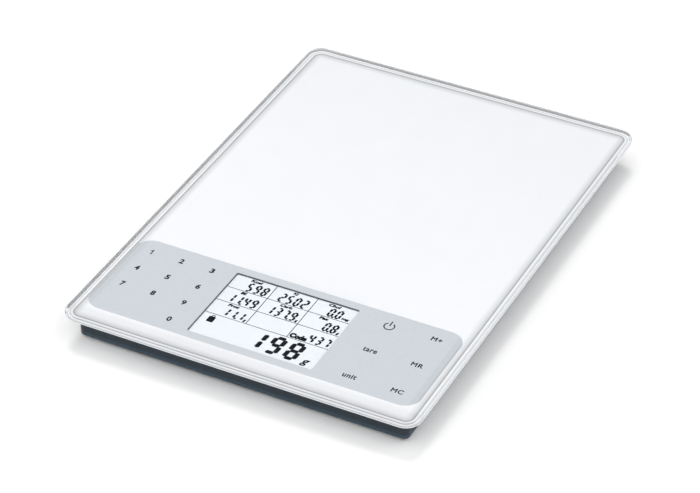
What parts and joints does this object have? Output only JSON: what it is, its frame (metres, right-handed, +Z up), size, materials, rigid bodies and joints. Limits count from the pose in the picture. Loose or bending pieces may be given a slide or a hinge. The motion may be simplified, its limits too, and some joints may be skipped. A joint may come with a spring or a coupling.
{
  "type": "kitchen scale",
  "caption": "Slim glass kitchen scale: clear platform printed white beneath, grey touch panel with display, dark tray on sprung feet, hinged battery door.",
  "frame": {"origin": "centre of the footprint, on the surface that the feet stand on", "axes": "+X to the right along the front edge, +Y to the back, +Z up; the key panel is along the -Y edge"},
  "size_m": [0.2, 0.281, 0.018],
  "materials": {
    "clear_glass": "polished tempered glass with a flat ground edge and bevels",
    "white_print": "white screen print under the glass",
    "panel_film": "pale grey printed film with dark legends",
    "lens_acrylic": "clear hard-coated acrylic",
    "gasket_foam": "dark closed-cell foam",
    "tape": "double-sided tape",
    "tray_plastic": "fine-textured dark blue-grey ABS",
    "frame_plastic": "natural white ABS",
    "lcd_glass": "liquid crystal display glass",
    "reflector_film": "diffuse reflective film",
    "zebra_rubber": "layered conductive silicone",
    "board": "green solder mask on glass-fibre laminate",
    "chip_plastic": "black moulding compound with tinned legs",
    "component_ceramic": "small ceramic and metal-can components",
    "connector_plastic": "ivory nylon",
    "tail_connector_plastic": "black nylon",
    "screw_steel": "zinc-plated steel",
    "foil_film": "amber polyimide film",
    "electrode_copper": "copper electrodes",
    "cell_steel": "stamped and brushed spring steel",
    "gauge_foil": "strain gauge foil on polyimide",
    "lead_pvc": "PVC-insulated flat lead",
    "coin_steel": "nickel-plated steel cans",
    "contact_nickel": "nickel-plated spring strip",
    "cup_plastic": "dark grey acetal",
    "pad_rubber": "soft dark grey rubber"
  },
  "bodies": {
    "scale_body": {"glass_platform": "clear_glass", "back_print": "white_print", "control_overlay": "panel_film", "display_lens": "lens_acrylic", "display_gasket": "gasket_foam", "mounting_tape": "tape", "inner_frame": "frame_plastic", "base_tray": "tray_plastic", "lcd_panel": "lcd_glass", "lcd_reflector": "reflector_film", "lcd_holder": "frame_plastic", "zebra_strips": "zebra_rubber", "main_pcb": "board", "controller_chip": "chip_plastic", "smd_components": "component_ceramic", "lead_connectors": "connector_plastic", "tail_connectors": "tail_connector_plastic", "pcb_screws": "screw_steel", "touch_foil_left": "foil_film", "touch_foil_right": "foil_film", "touch_electrodes": "electrode_copper", "load_cell_front_left": "cell_steel", "load_cell_front_right": "cell_steel", "load_cell_rear_left": "cell_steel", "load_cell_rear_right": "cell_steel", "strain_gauges": "gauge_foil", "cell_retainers": "frame_plastic", "retainer_screws": "screw_steel", "cell_leads": "lead_pvc", "battery_leads": "lead_pvc", "coin_cells": "coin_steel", "positive_contacts": "contact_nickel", "negative_contacts": "contact_nickel", "case_screws": "screw_steel"},
    "battery_door": {"battery_door": "tray_plastic"},
    "foot_front_left": {"foot_cup_front_left": "cup_plastic", "foot_pad_front_left": "pad_rubber"},
    "foot_front_right": {"foot_cup_front_right": "cup_plastic", "foot_pad_front_right": "pad_rubber"},
    "foot_rear_left": {"foot_cup_rear_left": "cup_plastic", "foot_pad_rear_left": "pad_rubber"},
    "foot_rear_right": {"foot_cup_rear_right": "cup_plastic", "foot_pad_rear_right": "pad_rubber"}
  },
  "joints": [
    {"name": "foot_front_left_travel", "type": "slide", "parent": "scale_body", "child": "foot_front_left", "axis": [0, 0, -1], "range_m": [0, 0.0004], "stiffness_N_per_m": 2000, "springref_m": 0.0004, "deforming": ["load_cell_front_left"]},
    {"name": "foot_front_right_travel", "type": "slide", "parent": "scale_body", "child": "foot_front_right", "axis": [0, 0, -1], "range_m": [0, 0.0004], "stiffness_N_per_m": 2000, "springref_m": 0.0004, "deforming": ["load_cell_front_right"]},
    {"name": "foot_rear_left_travel", "type": "slide", "parent": "scale_body", "child": "foot_rear_left", "axis": [0, 0, -1], "range_m": [0, 0.0004], "stiffness_N_per_m": 2000, "springref_m": 0.0004, "deforming": ["load_cell_rear_left"]},
    {"name": "foot_rear_right_travel", "type": "slide", "parent": "scale_body", "child": "foot_rear_right", "axis": [0, 0, -1], "range_m": [0, 0.0004], "stiffness_N_per_m": 2000, "springref_m": 0.0004, "deforming": ["load_cell_rear_right"]},
    {"name": "battery_door_hinge", "type": "hinge", "parent": "scale_body", "child": "battery_door", "pos_m": [0, 0.003, 0.0027], "axis": [1, 0, 0], "range_deg": [0, 85]}
  ]
}
